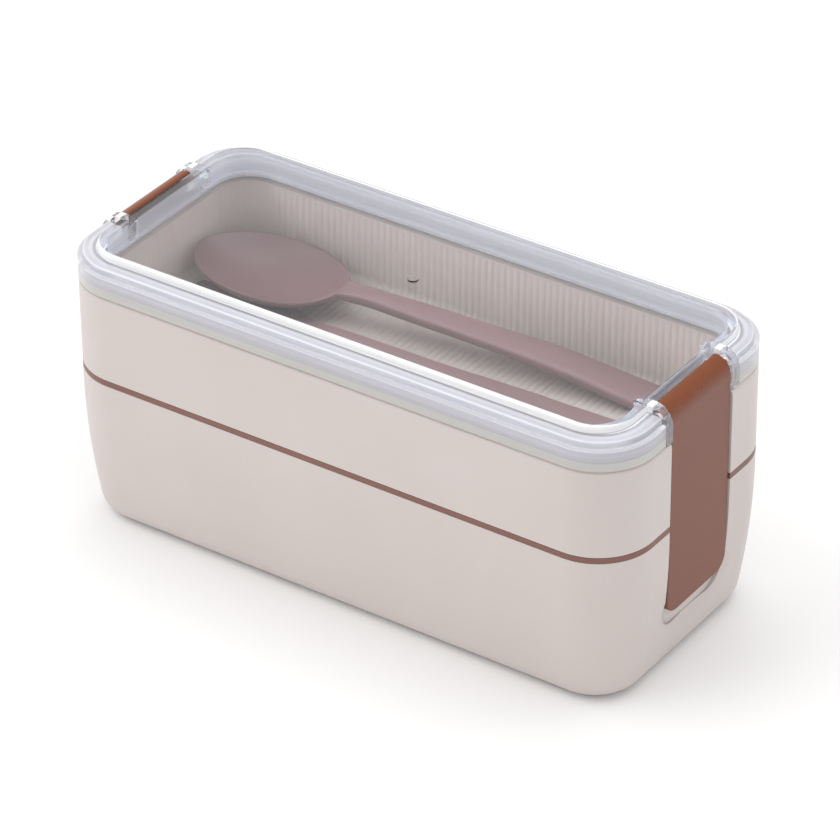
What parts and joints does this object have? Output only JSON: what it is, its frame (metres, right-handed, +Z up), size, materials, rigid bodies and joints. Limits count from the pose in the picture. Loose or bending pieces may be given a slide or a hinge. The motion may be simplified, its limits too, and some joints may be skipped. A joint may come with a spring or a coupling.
{
  "type": "bento lunch box",
  "caption": "Oblong two-tier lunch box with rounded corners, clear lid, brown middle lid, long hinged side clasps, and spoon and fork under the lid.",
  "frame": {"origin": "middle of the base's flat underside", "axes": "+X along the box towards the right clasp, +Y towards the long side where the spoon lies, +Z up towards the clear lid"},
  "size_m": [0.1904, 0.0844, 0.0901],
  "materials": {
    "tier_plastic": "satin",
    "brown_plastic": "semi-gloss",
    "silicone": "matte",
    "cutlery_plastic": "satin",
    "clear_plastic": "polished"
  },
  "bodies": {
    "lower": {"lower_tier": "tier_plastic"},
    "middle": {"middle_lid": "brown_plastic", "middle_lid_seal": "silicone"},
    "upper": {"upper_tier": "tier_plastic"},
    "fork": {"fork": "cutlery_plastic"},
    "spoon": {"spoon": "cutlery_plastic"},
    "lid": {"clear_lid": "clear_plastic", "lid_seal": "silicone"},
    "clasp_right": {"right_clasp": "brown_plastic"},
    "clasp_left": {"left_clasp": "brown_plastic"}
  },
  "joints": [
    {"name": "middle_lid_lift", "type": "slide", "parent": "lower", "child": "middle", "axis": [0, 0, 1], "range_m": [0, 0.045]},
    {"name": "upper_tier_lift", "type": "slide", "parent": "middle", "child": "upper", "axis": [0, 0, 1], "range_m": [0, 0.04]},
    {"name": "fork_lift", "type": "slide", "parent": "upper", "child": "fork", "axis": [0, 0, 1], "range_m": [0, 0.045]},
    {"name": "spoon_lift", "type": "slide", "parent": "fork", "child": "spoon", "axis": [0, 0, 1], "range_m": [0, 0.035]},
    {"name": "clear_lid_lift", "type": "slide", "parent": "spoon", "child": "lid", "axis": [0, 0, 1], "range_m": [0, 0.09]},
    {"name": "right_clasp_swing", "type": "hinge", "parent": "lid", "child": "clasp_right", "pos_m": [0.0914, 0, 0.086], "axis": [0, -1, 0], "range_deg": [0, 110]},
    {"name": "left_clasp_swing", "type": "hinge", "parent": "lid", "child": "clasp_left", "pos_m": [-0.0914, 0, 0.086], "axis": [0, 1, 0], "range_deg": [0, 110]}
  ]
}
